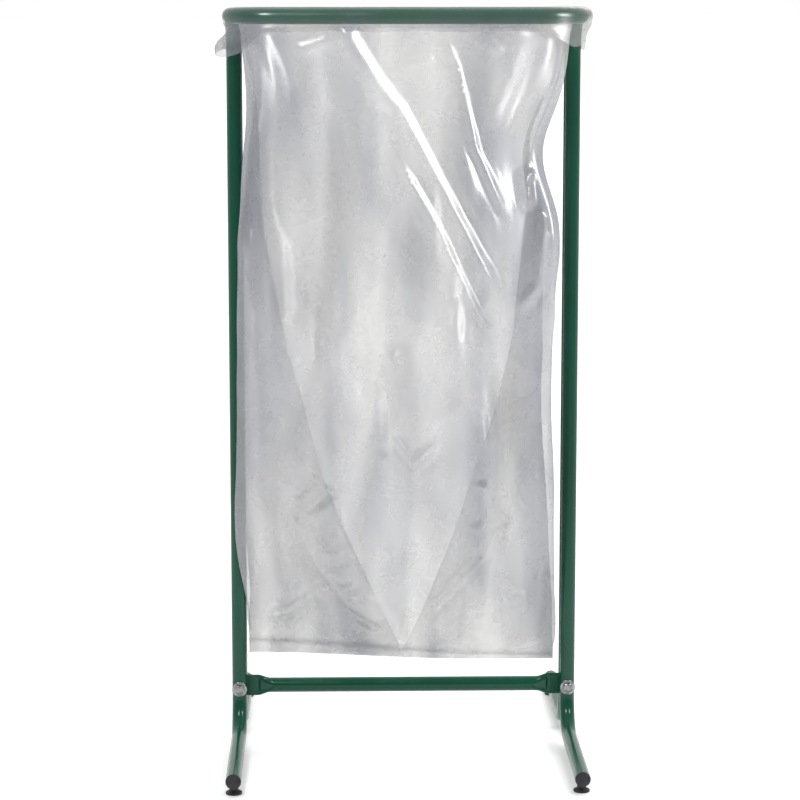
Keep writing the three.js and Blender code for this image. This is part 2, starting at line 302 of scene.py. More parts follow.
def enamel_material():
    """Deep green baked enamel: slight orange peel, faint colour drift, glossy coat."""
    m = Material("green_enamel")
    m.set(IOR=1.38, Coat_Weight=0.14, Coat_Roughness=0.04)
    drift = m.noise(9, 3, stretch=(1, 1, 0.4))
    m.plug(m.ramp(drift, (0.3, (0.001, 0.062, 0.033)), (0.7, (0.002, 0.078, 0.043))), "Base Color")
    m.plug(m.ranged(m.noise(60, 4), 0.3, 0.7, 0.16, 0.26), "Roughness")
    m.bump(m.noise(420, 2, 0.4), 0.05, 0.0004)
    m.bump(m.noise(38, 3, 0.5), 0.04, 0.002)
    return m.material


def zinc_material():
    """Bright zinc plating with a fine grain."""
    m = Material("zinc_steel")
    m.set(Metallic=1.0)
    grain = m.noise(900, 5, 0.6, stretch=(1, 0.2, 1))
    m.plug(m.ramp(m.noise(160, 4), (0.3, (0.22, 0.23, 0.24)), (0.7, (0.44, 0.45, 0.44))), "Base Color")
    m.plug(m.ranged(grain, 0.3, 0.7, 0.18, 0.36), "Roughness")
    m.bump(m.noise(500, 4, 0.6), 0.35, 0.0004)
    m.bump(grain, 0.15, 0.0003)
    return m.material


def plastic_material():
    """Black moulded plastic, matt and slightly mottled."""
    m = Material("black_plastic")
    m.set(IOR=1.46)
    mottle = m.noise(70, 5)
    m.plug(m.ramp(mottle, (0.35, (0.012, 0.012, 0.014)), (0.68, (0.038, 0.038, 0.041))), "Base Color")
    m.plug(m.ranged(m.noise(300, 4), 0.3, 0.7, 0.42, 0.62), "Roughness")
    m.bump(m.noise(1400, 3, 0.6), 0.25, 0.0004)
    return m.material


def film_material():
    """Clear polythene: half see-through in soft patches, greyer where seen edge on, glossy in its creases;
    painted light makes it paler, warmer and clearer across the middle than at its sides.
    """
    m = Material("clear_film")
    m.set(IOR=3.2, Coat_Weight=0.0)
    split = m.nodes.new("ShaderNodeSeparateXYZ")
    m.links.new(m.coordinates, split.inputs["Vector"])
    aside = m.maths("ABSOLUTE", split.outputs["X"])
    # Painted light: by place alone, the film is made paler and warmer across the middle and darker and cooler
    # towards its sides, and its haze is made thinner in the middle.
    middle = m.ranged(aside, 0.03, 0.18, 0.06, -0.06)
    cloud_and_painted_middle_light = m.maths("ADD", m.noise(13, 2, 0.45, stretch=(1, 0.6, 0.26), distortion=0.4), middle)
    m.plug(m.ramp(cloud_and_painted_middle_light, (0.36, (0.152, 0.164, 0.198)), (0.64, (0.286, 0.279, 0.260))), "Base Color")
    m.plug(m.ranged(m.noise(30, 5), 0.3, 0.7, 0.21, 0.34), "Roughness")
    m.bump(m.noise(22, 2, 0.4, stretch=(1, 1, 0.35), distortion=0.3), 0.07, 0.004)
    facing = m.nodes.new("ShaderNodeLayerWeight")
    facing.inputs["Blend"].default_value = 0.35
    cloudy_haze_and_painted_middle_light = m.ranged(cloud_and_painted_middle_light, 0.34, 0.66, 1.25, 0.66)
    attribute = m.nodes.new("ShaderNodeAttribute")
    attribute.attribute_name = HAZE
    haze = m.maths("MULTIPLY", attribute.outputs["Fac"], cloudy_haze_and_painted_middle_light)
    thick = m.nodes.new("ShaderNodeMapRange")
    m.links.new(facing.outputs["Facing"], thick.inputs["Value"])
    m.links.new(haze, thick.inputs["To Min"])
    m.links.new(m.maths("MULTIPLY", haze, 1.55), thick.inputs["To Max"])
    m.plug(thick.outputs["Result"], "Alpha")
    return m.material


# ---------------------------------------------------------------- mesh helpers

def piece(name, points, faces, material, body, replaced=(), smooth=True, haze=None):
    mesh = bpy.data.meshes.new(name)
    mesh.from_pydata([tuple(map(float, p)) for p in points], [], [tuple(map(int, f)) for f in faces])
    if haze is not None:
        mesh.attributes.new(HAZE, "FLOAT", "POINT").data.foreach_set("value", haze)
    mesh.validate()
    obj = bpy.data.objects.new(name, mesh)
    bpy.context.scene.collection.objects.link(obj)
    finish_mesh(obj, material, smooth)
    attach(obj, body)
    if replaced:
        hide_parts(*replaced)
    return obj


def finish_mesh(obj, material, smooth=True):
    mesh = obj.data
    work = bmesh.new()
    work.from_mesh(mesh)
    bmesh.ops.remove_doubles(work, verts=work.verts, dist=1e-6)
    bmesh.ops.recalc_face_normals(work, faces=work.faces)
    work.to_mesh(mesh)
    work.free()
    mesh.materials.clear()
    mesh.materials.append(material)
    if smooth:
        mesh.shade_smooth()
        mesh.set_sharp_from_angle(angle=math.radians(40))


def grid_faces(rows, columns, closed):
    """Quads of a rows x columns point grid; closed joins the last column to the first."""
    faces = []
    for i in range(rows - 1):
        for j in range(columns if closed else columns - 1):
            k = (j + 1) % columns
            faces.append((i * columns + j, i * columns + k, (i + 1) * columns + k, (i + 1) * columns + j))
    return faces


def bent_path(corners, step=math.radians(4), straight=0.03):
    """Points and tangents along straight runs joined by round bends: corners is [(point, radius), ...]."""
    points, tangents = [], []

    def run(a, b, tangent):
        count = max(1, int((b - a).length / straight))
        for k in range(count + 1):
            points.append(a.lerp(b, k / count))
            tangents.append(tangent)

    here = corners[0][0]
    for (before, _), (corner, radius), (after, _) in zip(corners, corners[1:], corners[2:]):
        into, out = (corner - before).normalized(), (after - corner).normalized()
        turn = into.angle(out)
        start = corner - into * radius * math.tan(turn / 2)
        run(here, start, into)
        inward = (out - into * out.dot(into)).normalized()
        count = round(turn / step)
        for k in range(1, count):
            a = turn * k / count
            points.append(start + into * radius * math.sin(a) + inward * radius * (1 - math.cos(a)))
            tangents.append(into * math.cos(a) + inward * math.sin(a))
        here = start + into * radius * math.sin(turn) + inward * radius * (1 - math.cos(turn))
    run(here, corners[-1][0], (corners[-1][0] - here).normalized())
    return points, tangents


def swept_ring(points, tangents, radius, sides=40):
    """Rings of points round a path, carried along without twist."""
    normal = tangents[0].orthogonal().normalized()
    rings = []
    for point, tangent in zip(points, tangents):
        normal = (normal - tangent * normal.dot(tangent)).normalized()
        binormal = tangent.cross(normal)
        for k in range(sides):
            a = 2 * math.pi * k / sides
            rings.append(point + normal * radius * math.cos(a) + binormal * radius * math.sin(a))
    return rings


def tube_mesh(points, tangents, sides=40):
    """A pipe with a wall: outer skin, inner skin and an edge ring at each open end."""
    outer = swept_ring(points, tangents, TUBE_R, sides)
    inner = swept_ring(points, tangents, TUBE_R - TUBE_WALL, sides)
    rows, total = len(points), len(outer)
    faces = grid_faces(rows, sides, True)
    faces += [tuple(total + i for i in reversed(face)) for face in faces]
    for row in (0, rows - 1):
        for j in range(sides):
            k = (j + 1) % sides
            a, b = row * sides + j, row * sides + k
            faces.append((a, total + a, total + b, b))
    return outer + inner, faces


# ---------------------------------------------------------------- the steel frames

def make_frames(material):
    foot_end = PLUG_FACE_Y - PLUG_HEAD
    for name, side in (("front_frame", -1), ("rear_frame", 1)):
        half = [
            (Vector((-UPRIGHT_X, side * foot_end, FOOT_Z)), 0),
            (Vector((-UPRIGHT_X, side * FRAME_Y, FOOT_Z)), FOOT_BEND),
            (Vector((-UPRIGHT_X, side * FRAME_Y, HOOP_Z)), TOP_BEND),
            (Vector((-UPRIGHT_X, side * HOOP_Y, HOOP_Z)), HOOP_CORNER),
        ]
        mirrored = [(Vector((-p.x, p.y, p.z)), r) for p, r in reversed(half)]
        points, faces = tube_mesh(*bent_path(half + mirrored))
        piece(name + "_tube", points, faces, material, "stand", [name])


# ---------------------------------------------------------------- crossbar, fasteners and feet

HEX_FLATS = size("bolt_right").x
HEAD_HEIGHT = 0.0053
SHANK_RADIUS = 0.004
BOLT_HOLE = 0.0042  # radius, in the washers and nuts
THREAD_DEPTH = 0.0006
THREADED_END = 0.016  # of the bolt
THREAD_PITCH = 0.00125
NUT_BODY = 0.0065
CHAMFER_SLOPE = math.tan(math.radians(30))
BAR_ROUND = 0.196  # where the bar is fully round again
BAR_SPREAD = 0.193  # where its outline starts to widen
BAR_STEP = 0.2065  # where the press's edge bit in
BAR_PRESSED = 0.212  # where its flattened end begins
STUD_HOLE = 0.0043
SPIGOT_GAP = 0.0008
RIBS, RIB_START, RIB_PITCH, RIB_HEIGHT = 3, 0.0020, 0.003, 0.0005
INSERT_BARREL, INSERT_FLANGE = 0.0055, 0.0009  # the barrel's radius and the flange's thickness
BAR_Z = centre("crossbar").z


def crossbar_ring(x, sides):
    """The bar's outline at x: round in the middle, flat at its ends, with a tongue-shaped crease between."""
    points = []
    straight = BAR_FLAT_HEIGHT / 2 - BAR_FLAT / 2
    flat_length = 4 * straight + math.pi * BAR_FLAT
    for k in range(sides):
        share = k / sides
        angle = 2 * math.pi * share
        circle = (TUBE_R * math.cos(angle), TUBE_R * math.sin(angle))
        arc = share * flat_length
        quarter, cap = straight, math.pi * BAR_FLAT / 2
        if arc < quarter:
            flat = (BAR_FLAT / 2, arc)
        elif arc < quarter + cap:
            a = (arc - quarter) / (BAR_FLAT / 2)
            flat = (BAR_FLAT / 2 * math.cos(a), straight + BAR_FLAT / 2 * math.sin(a))
        elif arc < 3 * quarter + cap:
            flat = (-BAR_FLAT / 2, straight - (arc - quarter - cap))
        elif arc < 3 * quarter + 2 * cap:
            a = (arc - 3 * quarter - cap) / (BAR_FLAT / 2) + math.pi
            flat = (BAR_FLAT / 2 * math.cos(a), -straight + BAR_FLAT / 2 * math.sin(a))
        else:
            flat = (BAR_FLAT / 2, arc - flat_length)
        faced = math.cos(angle) ** 2
        start = BAR_ROUND - 0.010 * faced
        spread = float(smoothstep((abs(x) - BAR_SPREAD) / (BAR_PRESSED - BAR_SPREAD)))
        eased = float(smoothstep((abs(x) - start) / (BAR_STEP - start)))
        stepped = float(smoothstep((abs(x) - BAR_STEP) / (BAR_PRESSED - 0.001 - BAR_STEP)))
        pressed = 0.66 * eased + 0.34 * stepped
        y = circle[0] + (flat[0] - circle[0]) * pressed
        z = circle[1] + (flat[1] - circle[1]) * spread
        dent = 0.0009 * faced**3 * math.exp(-(((abs(x) - BAR_STEP) / 0.004) ** 2))
        points.append((x, y - math.copysign(min(dent, abs(y) / 2), y), BAR_Z + z))
    return points


def make_crossbar(material):
    sides = 64
    stations = [-BAR_HALF + 0.0002, -BAR_HALF + 0.0008]
    stations += list(np.arange(-BAR_HALF + 0.003, -BAR_ROUND + 0.016, 0.0010))
    stations += list(np.linspace(-BAR_ROUND + 0.018, 0, 14))
    stations = stations + [-x for x in reversed(stations[:-1])]
    rings = [crossbar_ring(x, sides) for x in stations]
    points = [p for ring in rings for p in ring]
    faces = grid_faces(len(rings), sides, True)
    for row, x in ((0, -BAR_HALF), (len(rings) - 1, BAR_HALF)):
        cap = len(points)
        points += [(x, p[1] * 0.6, BAR_Z + (p[2] - BAR_Z) * 0.97) for p in rings[row]]
        base = row * sides
        for j in range(sides):
            k = (j + 1) % sides
            faces.append((base + j, base + k, cap + k, cap + j))
        faces.append(tuple(cap + j for j in range(sides)))
    piece("crossbar_tube", points, faces, material, "stand", ["crossbar"])


def hexagonal(ends, sides=96):
    """Rings of a hexagonal prism along Y whose ends are chamfered by a cone: ends is [(y, -1 or 1), ...]."""
    half = HEX_FLATS / 2
    rings = []
    for y, direction in ends:
        ring = []
        for k in range(sides):
            a = 2 * math.pi * k / sides
            r = half / math.cos((a + math.pi / 6) % (math.pi / 3) - math.pi / 6)
            ring.append((r, a, y - direction * (r - half) * CHAMFER_SLOPE))
        rings.append(ring)
    return rings


def lathe_rings(rings, x, z):
    """Points and faces from rings of (radius, angle, y) about an axis along Y."""
    points = [(x + r * math.sin(a), y, z + r * math.cos(a)) for ring in rings for r, a, y in ring]
    return points, grid_faces(len(rings), len(rings[0]), True)


def round_ring(radius, y, sides=96):
    return [(radius, 2 * math.pi * k / sides, y) for k in range(sides)]


def closed_ends(points, faces, rows, sides):
    faces.append(tuple(range(sides)))
    faces.append(tuple(range((rows - 1) * sides, rows * sides)))
    return points, faces


def make_bolt(node, material):
    low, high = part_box(node)
    x, z = centre(node).x, centre(node).z
    seat = low.y + HEAD_HEIGHT
    half = HEX_FLATS / 2
    rings = [round_ring(half * 0.55, low.y + 0.0005), round_ring(half * 0.90, low.y + 0.0003)]
    rings.append(round_ring(half * 0.97, low.y))
    rings += hexagonal([(low.y + 0.0002, -1), (seat - 0.0002, 1)])
    rings += [round_ring(half * 0.96, seat), round_ring(SHANK_RADIUS, seat)]
    y = high.y - THREADED_END
    while y < high.y - 0.0012:
        rings += [round_ring(SHANK_RADIUS, y), round_ring(SHANK_RADIUS - THREAD_DEPTH, y + THREAD_PITCH / 2)]
        y += THREAD_PITCH
    rings.append(round_ring(SHANK_RADIUS - THREAD_DEPTH, high.y - 0.0006))
    rings.append(round_ring(SHANK_RADIUS - 0.0012, high.y))
    points, faces = lathe_rings(rings, x, z)
    points, faces = closed_ends(points, faces, len(rings), 96)
    piece(node + "_hex", points, faces, material, "stand", [node])


def make_washer(node, material):
    low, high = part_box(node)
    x, z = centre(node).x, centre(node).z
    outer, hole, edge = size(node).x / 2, BOLT_HOLE, 0.0003
    profile = [
        (hole + edge, low.y), (outer - 3 * edge, low.y), (outer - edge, low.y + edge / 2),
        (outer, low.y + 1.5 * edge), (outer, high.y - edge), (outer - edge, high.y), (hole + edge, high.y),
        (hole, high.y - edge), (hole, low.y + edge),
    ]
    rings = [round_ring(r, y) for r, y in profile]
    points, faces = lathe_rings(rings + rings[:1], x, z)
    piece(node + "_disc", points, faces, material, "stand", [node])


def make_lock_nut(node, material):
    low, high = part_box(node)
    x, z = centre(node).x, centre(node).z
    half, hole = HEX_FLATS / 2, BOLT_HOLE
    top = low.y + NUT_BODY
    rings = [round_ring(hole, high.y - 0.0012), round_ring(hole, low.y + 0.0004)]
    rings += [round_ring(hole + 0.0005, low.y), round_ring(half * 0.96, low.y)]
    rings += hexagonal([(low.y + 0.0002, -1), (top - 0.0002, 1)])
    rings += [round_ring(half * 0.93, top), round_ring(half * 0.92, high.y - 0.0006)]
    rings += [round_ring(half * 0.86, high.y - 0.0001), round_ring(half * 0.78, high.y)]
    rings += [round_ring(half * 0.74, high.y - 0.0004), round_ring(hole, high.y - 0.0005)]
    points, faces = lathe_rings(rings + rings[:1], x, z)
    piece(node + "_hex", points, faces, material, "stand", [node])


def make_plug(node, material):
    """A push-in end plug: a domed head as wide as the tube, with a ribbed spigot inside it."""
    low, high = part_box(node)
    x, z = centre(node).x, centre(node).z
    side = 1 if centre(node).y > 0 else -1
    face = high.y if side > 0 else -low.y
    spigot = TUBE_R - TUBE_WALL - SPIGOT_GAP
    head = PLUG_HEAD
    profile = [(0.0025, 0.0), (0.0055, 0.00008), (TUBE_R - 0.0030, 0.00025), (TUBE_R - 0.0012, 0.0007)]
    profile += [(TUBE_R - 0.0004, 0.0013), (TUBE_R, 0.0020), (TUBE_R, head - 0.0001), (spigot, head)]
    for rib in range(RIBS):
        start = head + RIB_START + RIB_PITCH * rib
        profile += [(spigot, start), (spigot + RIB_HEIGHT, start + 0.001), (spigot, start + 0.002)]
    depth = size(node).y
    profile += [(spigot, depth - 0.001), (spigot - 0.001, depth)]
    rings = [round_ring(r, side * (face - y)) for r, y in profile]
    points, faces = lathe_rings(rings, x, z)
    points, faces = closed_ends(points, faces, len(rings), 96)
    piece(node + "_cap", points, faces, material, "stand", [node])


def upright_rings(profile, x, y):
    """Points and faces from a profile of (radius, z) about a vertical axis."""
    sides = 72
    points = [
        (x + r * math.cos(2 * math.pi * k / sides), y + r * math.sin(2 * math.pi * k / sides), z)
        for r, z in profile
        for k in range(sides)
    ]
    return points, grid_faces(len(profile), sides, True), sides


def make_glide(node, material, body):
    """A levelling foot: a broad moulded pad with a conical top and a hub round its stud."""
    x, y = centre(node).x, centre(node).y
    r, top = size(node).x / 2, size(node).z
    profile = [(0.0060, 0.0004), (0.0066, 0.0), (r - 0.0008, 0.0), (r - 0.0002, 0.0003), (r, 0.0009)]
    profile += [(r, 0.0026), (r - 0.0003, 0.0031), (r - 0.0009, 0.0034), (0.0074, 0.0049), (0.0068, 0.0053)]
    profile += [(0.0064, 0.0060), (0.0062, top - 0.0009), (0.0060, top - 0.0003), (0.0054, top)]
    profile += [(STUD_HOLE + 0.0002, top), (STUD_HOLE, top - 0.0002), (STUD_HOLE, 0.0025)]
    points, faces, sides = upright_rings(profile, x, y)
    points, faces = closed_ends(points, faces, len(profile), sides)
    piece(node + "_foot", points, faces, material, body, [node])


def make_stud(node, material, body):
    """The glide's threaded stud."""
    low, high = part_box(node)
    profile = [(SHANK_RADIUS - THREAD_DEPTH, low.z), (SHANK_RADIUS, low.z + 0.0006)]
    z = low.z + 0.001
    while z < high.z - 0.0018:
        profile += [(SHANK_RADIUS, z), (SHANK_RADIUS - THREAD_DEPTH, z + THREAD_PITCH / 2)]
        z += THREAD_PITCH
    profile += [(SHANK_RADIUS - 0.0004, high.z - 0.0008), (SHANK_RADIUS - 0.0012, high.z)]
    points, faces, sides = upright_rings(profile, centre(node).x, centre(node).y)
    points, faces = closed_ends(points, faces, len(profile), sides)
    piece(node + "_thread", points, faces, material, body, [node])


def make_insert(node, material):
    """The flanged threaded insert that the stud screws into, under the foot tube."""
    low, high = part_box(node)
    flange, barrel, edge = size(node).x / 2, INSERT_BARREL, 0.0002
    under = low.z + INSERT_FLANGE
    profile = [
        (STUD_HOLE, low.z + edge), (STUD_HOLE + edge, low.z), (flange - edge, low.z), (flange, low.z + edge),
        (flange, under - edge), (flange - edge, under), (barrel, under),
        (barrel, high.z - edge), (barrel - edge, high.z), (STUD_HOLE, high.z), (STUD_HOLE, low.z + edge),
    ]
    points, faces, _ = upright_rings(profile, centre(node).x, centre(node).y)
    piece(node + "_sleeve", points, faces, material, "stand", [node])


def make_fittings(enamel, zinc, plastic):
    make_crossbar(enamel)
    for end in ("left", "right"):
        make_bolt(f"bolt_{end}", zinc)
        make_washer(f"front_washer_{end}", zinc)
        make_washer(f"rear_washer_{end}", zinc)
        make_lock_nut(f"lock_nut_{end}", zinc)
        for row in ("front", "rear"):
            glide_body = f"glide_{row}_{end}"
            make_plug(f"end_plug_{row}_{end}", plastic)
            make_glide(f"glide_pad_{row}_{end}", plastic, glide_body)
            make_stud(f"glide_stud_{row}_{end}", zinc, glide_body)
            make_insert(f"threaded_insert_{row}_{end}", zinc)


# ---------------------------------------------------------------- the sack

PANEL = 0.441  # width of the front and rear panels, between the creases of the side gussets
PERIMETER = 1.762  # of the sack's mouth, flat
GUSSET = PERIMETER / 2 - PANEL
HANG = 0.936  # film between the hoop's inner side and the seal
SKIRT_LEFT, SKIRT_RIGHT = 0.019, 0.005  # film below the seal, which runs slightly askew
BOTTOM_RISE = 0.012  # of the lower edge's left end over its right end
CUFF = 0.046  # film turned down outside the hoop
CUFF_PULLED = 0.020  # the same where the long sides are pulled tight
FILM_GAP = 0.0008  # between the film and the tube under it
HOOP_SHARE_FRONT = 0.330  # of the hoop's length that each panel takes up; the gussets take the rest
PANEL_CELLS = 56
FOLD_CELLS = 24  # across half a gusset
HANG_ROWS = 116
SKIRT_ROWS = 3
LIP_ROWS = 10
CUFF_ROWS = 9
SIMULATED_FRAMES = 40
SEED = 7
HAZE_LOW, HAZE_HIGH, HAZE_LIP = 0.49, 0.52, 0.15  # low down, high up and over the hoop's tube
PLEAT_CLEARER, PLEAT_LINE, SEAL_LINE = 0.72, 0.10, 0.18  # haze less in the pleats, more on fold and seal
STRETCH_LOW, STRETCH_SPAN = 0.74, 0.16  # heights over which the film gets tight under the hoop
SMOOTHINGS = 80


def smoothstep(t):
    t = np.clip(t, 0, 1)
    return t * t * (3 - 2 * t)


def hill(t, middle, width):
    return np.exp(-(((t - middle) / width) ** 2))


def waves(u, v, wavelength, seed, count=18, spread=0.5):
    """Smooth noise of about unit size: plane waves of roughly one length in seeded directions."""
    random = np.random.RandomState(seed)
    total = np.zeros_like(u)
    for _ in range(count):
        angle, phase = random.uniform(0, math.pi), random.uniform(0, 2 * math.pi)
        k = 2 * math.pi / (wavelength * random.uniform(1 - spread, 1 + spread))
        total += np.sin(k * (u * math.cos(angle) + v * math.sin(angle)) + phase)
    return total / math.sqrt(count / 2)


def film_stations():
    """Distance round the film of each column, from the middle of the left gusset towards the front."""
    widths = [GUSSET / 2, PANEL, GUSSET / 2, GUSSET / 2, PANEL, GUSSET / 2]
    cells = [FOLD_CELLS, PANEL_CELLS, FOLD_CELLS, FOLD_CELLS, PANEL_CELLS, FOLD_CELLS]
    steps = np.concatenate([np.full(n, w / n) for w, n in zip(widths, cells)])
    return np.concatenate([[0], np.cumsum(steps)[:-1]])


def hoop_shares(station):
    """Where each column lies on the hoop: the panels nearly smooth, the gussets gathered at the sides."""
    side = 0.5 - HOOP_SHARE_FRONT
    twist = 0.004
    side_end, panel_end = GUSSET / 2, GUSSET / 2 + PANEL
    knots = [0, side_end, panel_end, PERIMETER - panel_end, PERIMETER - side_end, PERIMETER]
    shares = [0, side / 2, side / 2 + HOOP_SHARE_FRONT, 1 - side / 2 - HOOP_SHARE_FRONT, 1 - side / 2, 1]
    return np.interp(station, knots, shares) + twist


def hoop_points(shares, offset):
    """Points on the hoop's outline offset outwards, by share of its length from the left side's middle."""
    offset = np.broadcast_to(offset, shares.shape)
    a, b, r = UPRIGHT_X, HOOP_Y, HOOP_CORNER
    arc = math.pi * r / 2
    lengths = np.array([b - r, arc, 2 * (a - r), arc, 2 * (b - r), arc, 2 * (a - r), arc, b - r])
    ends = np.concatenate([[0], np.cumsum(lengths)])
    points = np.zeros((len(shares), 2))
    corners = {1: (-1, -1, 1.0), 3: (1, -1, 1.5), 5: (1, 1, 0.0), 7: (-1, 1, 0.5)}
    for i, s in enumerate(np.mod(shares, 1) * ends[-1]):
        k = min(int(np.searchsorted(ends, s, side="right")) - 1, len(lengths) - 1)
        t, o = s - ends[k], offset[i]
        if k in corners:
            x, y, quarter = corners[k]
            angle = quarter * math.pi + t / r
            points[i] = (x * (a - r) + (r + o) * math.cos(angle), y * (b - r) + (r + o) * math.sin(angle))
        else:
            points[i] = {
                0: (-a - o, -t),
                2: (-(a - r) + t, -b - o),
                4: (a + o, -(b - r) + t),
                6: ((a - r) - t, b + o),
                8: (-a - o, (b - r) - t),
            }[k]
    return points


def folded_outline(station, half_depth, shift, tuck):
    """The outline at one height: flat panels, with the gussets tucked in by a share of their depth."""
    fold = tuck * math.sqrt(max((GUSSET / 2) ** 2 - half_depth**2, 0))
    half = PANEL / 2
    corner = GUSSET / 2
    knots = [0, corner, corner + PANEL, GUSSET + PANEL, 3 * corner + PANEL, PERIMETER - corner, PERIMETER]
    x = np.interp(station, knots, [-half + fold, -half, half, half - fold, half, -half, -half + fold])
    y = np.interp(station, knots, [0, -half_depth, -half_depth, 0, half_depth, half_depth, 0])
    return np.stack([x + shift, y], 1)


def gusset_tuck(f):
    """How far in the gusset is tucked at a share of the way down: shallow where the hoop holds it open."""
    return 0.25 + 0.75 * f**2.6


def cut_outline(station, depth):
    """The film's outline with its gussets opened flat; depth is what half a gusset takes up there."""
    half = PANEL / 2
    corner = GUSSET / 2
    knots = [0, corner, corner + PANEL, 3 * corner + PANEL, 3 * corner + 2 * PANEL, PERIMETER]
    x = np.interp(station, knots, [-half, -half, half, half, -half, -half])
    y = np.interp(station, knots, [0, -depth, -depth, depth, depth, 0])
    return np.stack([x, y], 1)


def hanging_rows(station, shares):
    """The panels before they settle, from the hoop down to the lower edge."""
    near = TUBE_R + FILM_GAP
    ring = hoop_points(shares, -near)
    rows = []
    for i in range(1, HANG_ROWS + SKIRT_ROWS + 1):
        f = min(i / HANG_ROWS, 1)
        half_depth = 0.0012 + (HOOP_Y - near) * (1 - f)
        shift = -0.0125 * math.sin(math.pi * min(f * 1.1, 1)) - 0.003 * f
        outline = folded_outline(station, min(half_depth, GUSSET / 2 - 0.002), shift, gusset_tuck(f))
        mix = smoothstep(f / 0.2)
        plan = ring * (1 - mix) + outline * mix
        across = np.clip(plan[:, 0] / PANEL + 0.5, 0, 1)
        lower_edge = SACK_LOW.z + BOTTOM_RISE * (0.5 - smoothstep(across / 0.75))
        skirt = SKIRT_LEFT + (SKIRT_RIGHT - SKIRT_LEFT) * across
        seal = lower_edge + skirt
        below = max(i - HANG_ROWS, 0) / SKIRT_ROWS
        z = HOOP_Z + (seal - HOOP_Z) * f - skirt * below
        rows.append(np.column_stack([plan, z]))
    return np.array(rows)


def cut_rows(station):
    """The same rows laid open, for the cloth's rest lengths: near the mouth the gussets have less film."""
    across = np.clip(cut_outline(station, 0)[:, 0] / PANEL + 0.5, 0, 1)
    skirt = SKIRT_LEFT + (SKIRT_RIGHT - SKIRT_LEFT) * across
    rows = []
    for i in range(1, HANG_ROWS + SKIRT_ROWS + 1):
        f = min(i / HANG_ROWS, 1)
        half_depth = (HOOP_Y - TUBE_R) * (1 - f)
        fold = gusset_tuck(f) * math.sqrt(max((GUSSET / 2) ** 2 - half_depth**2, 0))
        plan = cut_outline(station, min(1.05 * math.hypot(fold, half_depth), GUSSET / 2))
        down = HANG * min(i / HANG_ROWS, 1) + skirt * max(i - HANG_ROWS, 0) / SKIRT_ROWS
        rows.append(np.column_stack([plan, HOOP_Z - down]))
    return np.array(rows)


def settle(start, cut):
    """Lets the film hang: cloth simulation from the folded start, with the cut's own lengths."""
    rows, columns = start.shape[:2]
    mesh = bpy.data.meshes.new("settling")
    mesh.from_pydata([tuple(p) for p in start.reshape(-1, 3)], [], grid_faces(rows, columns, True))
    obj = bpy.data.objects.new("settling", mesh)
    bpy.context.scene.collection.objects.link(obj)
    obj.shape_key_add(name="Basis")
    rest = obj.shape_key_add(name="cut")
    rest.data.foreach_set("co", cut.reshape(-1).astype(np.float32))
    rest.value = 0
    group = obj.vertex_groups.new(name="held")
    for i in range(rows):
        weight = 1.0 if i == 0 else 0.02 + 0.98 * float(smoothstep((i - HANG_ROWS + 5) / 4))
        group.add(list(range(i * columns, (i + 1) * columns)), weight, "REPLACE")
    cloth = obj.modifiers.new("cloth", "CLOTH")
    s = cloth.settings
    s.quality = 6
    s.mass = 0.08
    s.air_damping = 4
    s.tension_stiffness = s.compression_stiffness = 60
    s.shear_stiffness = 40
    s.bending_stiffness = 0.12
    s.bending_model = "ANGULAR"
    s.vertex_group_mass = "held"
    s.pin_stiffness = 1
    s.rest_shape_key = rest
    cloth.collision_settings.use_collision = False
    cloth.point_cache.frame_start = 1
    cloth.point_cache.frame_end = SIMULATED_FRAMES
    scene = bpy.context.scene
    scene.frame_start, scene.frame_end = 1, SIMULATED_FRAMES
    for number in range(1, SIMULATED_FRAMES + 1):
        scene.frame_set(number)
    shown = obj.evaluated_get(bpy.context.evaluated_depsgraph_get())
    out = np.zeros(rows * columns * 3, np.float32)
    shown.data.vertices.foreach_get("co", out)
    scene.frame_set(1)
    bpy.data.objects.remove(obj)
    return out.reshape(rows, columns, 3).astype(float)


def cuff_rows(shares):
    """The turned-over mouth: up outside from a wavy hem, over the hoop's tube and down to its inner side."""
    near = TUBE_R + FILM_GAP
    s = np.mod(shares, 1)
    left_corner, right_corner = 0.094, 0.404
    around = 2 * math.pi * s
    ruffle = 0.5 * np.sin(14 * around + 0.6) + 0.3 * np.sin(37 * around) + 0.2 * np.sin(61 * around + 1.7)
    pulled = smoothstep((0.145 - np.abs(s - 0.25)) / 0.03) + smoothstep((0.145 - np.abs(s - 0.75)) / 0.03)
    hem = CUFF + (CUFF_PULLED - CUFF) * pulled + 0.0015 * ruffle
    hem = hem + 0.008 * hill(s, left_corner, 0.020) - 0.006 * hill(s, right_corner, 0.02)
    corner = hill(s, left_corner - 0.012, 0.022)
    flare = 0.0015 + 0.0015 * ruffle * (1 - 0.7 * pulled) + 0.010 * corner
    tuck = 0.006 * smoothstep((0.115 - np.abs(s - 0.5)) / 0.03)
    waist = 0.006 * smoothstep((np.abs(s - 0.5) - 0.37) / 0.05)
    loose = 0.005 * smoothstep((0.13 - np.abs(s - 0.5)) / 0.04)
    rows = []
    for i in range(CUFF_ROWS, 0, -1):
        t = i / CUFF_ROWS
        offset = near + loose * (1 - t) + flare * smoothstep((t - 0.35) / 0.5)
        offset = offset - tuck * smoothstep((t - 0.2) / 0.5) - waist * hill(t, 0.42, 0.20)
        rows.append(np.column_stack([hoop_points(shares, offset), HOOP_Z - hem * t]))
    for i in range(LIP_ROWS + 1):
        angle = math.pi * i / LIP_ROWS
        radius = near + loose * smoothstep(1 - angle / (0.7 * math.pi))
        plan = hoop_points(shares, radius * math.cos(angle))
        rows.append(np.column_stack([plan, HOOP_Z + radius * math.sin(angle)]))
    return np.array(rows)


